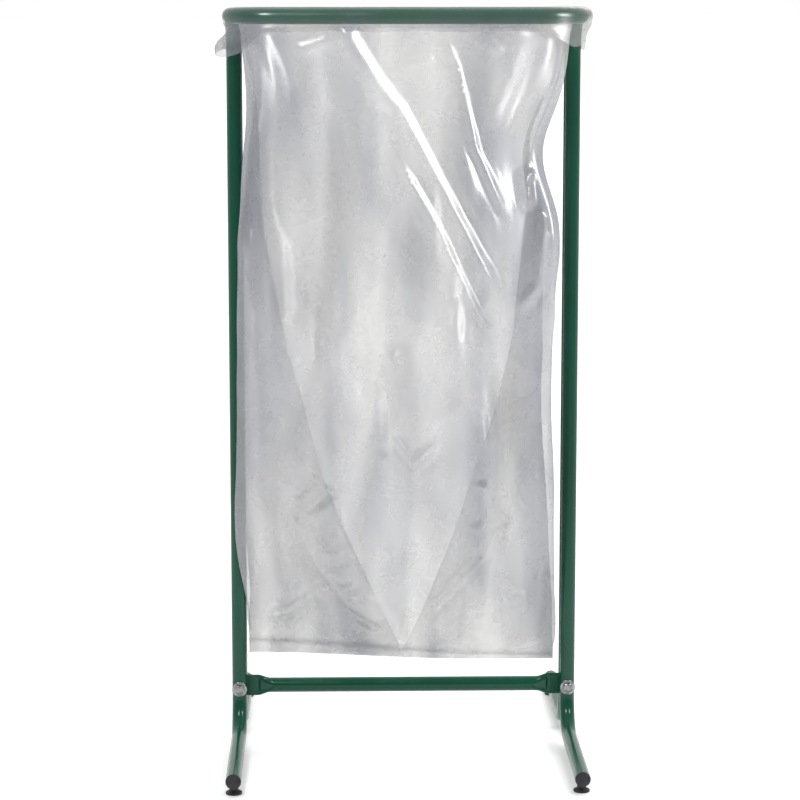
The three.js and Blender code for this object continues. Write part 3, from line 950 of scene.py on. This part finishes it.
def refined(rows):
    """Twice as many points each way, on smooth curves through the given ones."""
    padded = np.concatenate([2 * rows[:1] - rows[1:2], rows, 2 * rows[-1:] - rows[-2:-1]])
    middle = (9 * (padded[1:-2] + padded[2:-1]) - padded[:-3] - padded[3:]) / 16
    tall = np.empty((len(rows) * 2 - 1, *rows.shape[1:]))
    tall[0::2], tall[1::2] = rows, middle
    ahead, behind, further = np.roll(tall, -1, 1), np.roll(tall, 1, 1), np.roll(tall, -2, 1)
    middle = (9 * (tall + ahead) - behind - further) / 16
    wide = np.empty((tall.shape[0], tall.shape[1] * 2, 3))
    wide[:, 0::2], wide[:, 1::2] = tall, middle
    return wide


def grid_normals(rows):
    across = np.roll(rows, -1, 1) - np.roll(rows, 1, 1)
    down = np.gradient(rows, axis=0)
    normal = np.cross(down, across)
    return normal / np.maximum(np.linalg.norm(normal, axis=2, keepdims=True), 1e-9)


def ridge(x, z, line, width, height):
    """A crease along a line of (x, z) points: a rounded tent that fades at both ends, and its nearness."""
    line = np.array(line)
    best = np.full(x.shape, 1.0)
    along = np.zeros(x.shape)
    lengths = np.linalg.norm(np.diff(line, axis=0), axis=1)
    total, done = lengths.sum(), 0
    for a, b, length in zip(line, line[1:], lengths):
        t = np.clip(((x - a[0]) * (b[0] - a[0]) + (z - a[1]) * (b[1] - a[1])) / length**2, 0, 1)
        distance = np.hypot(x - a[0] - t * (b[0] - a[0]), z - a[1] - t * (b[1] - a[1]))
        nearer = distance < best
        best = np.where(nearer, distance, best)
        along = np.where(nearer, (done + t * length) / total, along)
        done += length
    fade = smoothstep(along / 0.12) * smoothstep((1 - along) / 0.2)
    rise = np.clip(1 - best / width, 0, 1)
    return height * fade * (0.5 * rise + 0.5 * smoothstep(rise)), fade * smoothstep(2 - best / width)


# Creases pressed into the front panel: (points across and up), width, height.
CREASES = [
    (
        [(-0.105, 1.056), (-0.085, 1.024), (-0.050, 0.968), (-0.010, 0.925), (0.035, 0.840), (0.115, 0.690),
         (0.142, 0.600)], 0.015, 0.0095,
    ),
    ([(-0.094, 1.046), (-0.068, 1.000), (-0.044, 0.962), (-0.014, 0.920), (0.020, 0.825)], 0.022, 0.0105),
    (
        [(-0.035, 0.945), (-0.018, 0.880), (0.008, 0.820), (0.040, 0.765), (0.100, 0.635), (0.138, 0.585)],
        0.012, 0.0080,
    ),
    ([(0.045, 1.030), (0.068, 0.980), (0.094, 0.870), (0.142, 0.765)], 0.0095, 0.0052),
    ([(0.205, 0.870), (0.165, 0.830), (0.172, 0.780)], 0.009, 0.006),
    ([(0.195, 0.800), (0.182, 0.680), (0.150, 0.635)], 0.012, 0.007),
    ([(-0.150, 1.002), (-0.122, 1.010), (-0.095, 1.018)], 0.013, 0.0042),
    ([(0.105, 1.024), (0.116, 1.008), (0.130, 1.000)], 0.012, 0.0034),
    ([(0.000, 0.982), (0.020, 0.990), (0.038, 0.996)], 0.012, 0.0034),
    ([(-0.200, 0.190), (-0.165, 0.200), (-0.130, 0.226)], 0.010, 0.0060),
    ([(-0.128, 0.213), (-0.095, 0.228), (-0.060, 0.236)], 0.016, 0.0048),
    ([(-0.120, 0.260), (-0.092, 0.272), (-0.064, 0.292)], 0.014, 0.0042),
    ([(-0.155, 0.362), (-0.128, 0.382), (-0.108, 0.402)], 0.014, 0.0040),
    ([(0.092, 0.318), (0.116, 0.334), (0.140, 0.362)], 0.014, 0.0040),
    ([(-0.165, 0.360), (-0.130, 0.280), (-0.085, 0.215), (-0.010, 0.160)], 0.012, 0.007),
    ([(-0.120, 0.300), (-0.105, 0.240), (-0.110, 0.190)], 0.009, 0.006),
    ([(0.130, 0.340), (0.120, 0.285), (0.060, 0.215), (0.010, 0.160)], 0.011, 0.006),
    ([(0.110, 0.400), (0.118, 0.340), (0.095, 0.300)], 0.010, 0.006),
    ([(-0.030, 0.480), (0.010, 0.420), (0.050, 0.460)], 0.012, 0.006),
    ([(-0.020, 0.600), (-0.010, 0.500), (-0.035, 0.420)], 0.014, 0.006),
]


def crinkle(rows):
    """Presses creases and the soft crumple of handled film into the settled sheet."""
    count_rows, columns = rows.shape[:2]
    x, y, z = rows[..., 0], rows[..., 1], rows[..., 2]
    normal = grid_normals(rows)
    u = np.broadcast_to(np.linspace(0, PERIMETER, columns, endpoint=False), x.shape)
    top_rows = 2 * (CUFF_ROWS + LIP_ROWS)
    hanging = smoothstep((HOOP_Z - 0.012 - z) / 0.03) * smoothstep((z - SACK_LOW.z) / 0.03)
    below_lip = (np.arange(count_rows) > top_rows)[:, None] * hanging
    bent = u + 0.02 * waves(u, z, 0.2, SEED + 4)
    slant = z * 0.45 + bent * 0.2
    soft = 0.0032 * waves(u, z * 0.4, 0.15, SEED) + 0.0014 * waves(u, z * 0.22, 0.065, SEED + 5)
    crumple = 1 - np.abs(waves(bent, slant, 0.13, SEED + 1))
    calm_above = 1 - 0.65 * smoothstep((z - STRETCH_LOW) / STRETCH_SPAN)
    height = (soft + 0.0010 * crumple) * below_lip * calm_above
    front = np.abs(u - GUSSET / 2 - PANEL / 2) < PANEL / 2 + 0.01
    front = front & (np.arange(count_rows) > top_rows)[:, None]
    folds, calm = np.zeros_like(x), np.zeros_like(x)
    for line, width, tall in CREASES:
        fold, near = ridge(x, z, line, width, tall)
        folds = np.maximum(folds, np.where(front, fold, 0))
        calm = np.maximum(calm, np.where(front, near, 0))
    out = rows + normal * (height * (1 - 0.75 * calm))[..., None]
    out[..., 1] -= folds
    return out


def pulled_in(rows):
    """Draws the sides in as they hang: waisted below the hoop on the right, bulging low down on the left."""
    out = rows.copy()
    x, z = rows[..., 0], rows[..., 2]
    below = smoothstep((HOOP_Z - 0.012 - z) / 0.05) * smoothstep((z - SACK_LOW.z - 0.02) / 0.06)
    right = 0.028 * hill(z, 0.865, 0.075) + 0.006 * hill(z, 0.66, 0.16)
    left = 0.008 * hill(z, 0.93, 0.07) - 0.007 * hill(z, 0.36, 0.12)
    out[..., 0] -= right * smoothstep((x - 0.05) / 0.15) * below
    out[..., 0] += left * smoothstep((-x - 0.05) / 0.15) * below
    return out


def stretched(rows):
    """Smooths out the upright folds below the hoop, where the film is held tight."""
    out = rows.copy()
    z = rows[..., 2]
    tight = smoothstep((z - STRETCH_LOW) / STRETCH_SPAN) * smoothstep((HOOP_Z - 0.010 - z) / 0.02)
    below_lip = (np.arange(rows.shape[0]) > 2 * (CUFF_ROWS + LIP_ROWS))[:, None]
    share = (0.5 * tight * below_lip)[..., None]
    for _ in range(SMOOTHINGS):
        out += share * ((np.roll(out, 1, 1) + np.roll(out, -1, 1)) / 2 - out)
    return out


def clear_of_uprights(rows):
    """Moves film out of the uprights, which stand as two tubes back to back at each side."""
    out = rows.copy()
    keep = TUBE_R + 0.0012
    below_hoop = out[..., 2] < HOOP_Z - 0.06
    for side in (-1, 1):
        dx = out[..., 0] - side * UPRIGHT_X
        dy = out[..., 1] - np.clip(out[..., 1], -FRAME_Y, FRAME_Y)
        distance = np.maximum(np.hypot(dx, dy), 1e-6)
        near = (distance < keep) & below_hoop
        towards_middle = np.abs(out[..., 1]) <= FRAME_Y
        dx = np.where(towards_middle, -side * np.abs(dx) - side * 1e-6, dx)
        distance = np.maximum(np.hypot(dx, dy), 1e-6)
        out[..., 0] = np.where(near, side * UPRIGHT_X + dx / distance * keep, out[..., 0])
        pushed_y = np.clip(out[..., 1], -FRAME_Y, FRAME_Y) + dy / distance * keep
        out[..., 1] = np.where(near, pushed_y, out[..., 1])
    return out


def milkiness(rows):
    """The film's haze: little over the hoop's tube, most high up, less in the pleats and low down."""
    z = rows[..., 2]
    row = np.arange(rows.shape[0])[:, None]
    seal_row = 2 * (CUFF_ROWS + LIP_ROWS + HANG_ROWS)
    haze = HAZE_LOW + (HAZE_HIGH - HAZE_LOW) * smoothstep((z - 0.20) / 0.35)
    station = np.linspace(0, PERIMETER, rows.shape[1], endpoint=False)
    from_pleat = np.abs((station + PERIMETER / 4) % (PERIMETER / 2) - PERIMETER / 4)
    in_gusset = smoothstep((GUSSET / 2 - 0.012 - from_pleat) / 0.030)
    haze = haze * (1 - PLEAT_CLEARER * in_gusset * smoothstep((0.82 - z) / 0.25))
    haze = haze + PLEAT_LINE * hill(from_pleat, 0, 0.004) * smoothstep((0.60 - z) / 0.2)
    loose = smoothstep((np.abs(rows[..., 0]) - UPRIGHT_X - TUBE_R - 0.0015) / 0.003)
    over_tube = smoothstep((z - HOOP_Z + 0.015) / 0.010) * (1 - loose)
    haze = np.where(row < 2 * CUFF_ROWS, 0.7, 1.0) * haze
    haze = haze + (HAZE_LIP - haze) * over_tube
    return haze + SEAL_LINE * hill(row, seal_row, 1.0)


def make_sack(material):
    """The film: folded, settled, creased and turned over the hoop, as one sheet."""
    station = film_stations()
    shares = hoop_shares(station)
    start = hanging_rows(station, shares)
    hung = settle(start, cut_rows(station))
    rows = np.concatenate([cuff_rows(shares), hung])
    rows = clear_of_uprights(crinkle(pulled_in(stretched(refined(rows)))))
    faces = grid_faces(rows.shape[0], rows.shape[1], True)
    haze = milkiness(rows).reshape(-1).astype(np.float32)
    points = rows.reshape(-1, 3)
    sack = piece("sack_film", points, faces, material, "sack", ["sack"], haze=haze)
    return sack


make_camera()
make_world()
make_floor()
strip = make_lights()
bpy.context.scene.cycles.transparent_max_bounces = 24
enamel = enamel_material()
zinc = zinc_material()
plastic = plastic_material()
film = film_material()
make_frames(enamel)
make_fittings(enamel, zinc, plastic)
light_only(strip, make_sack(film))
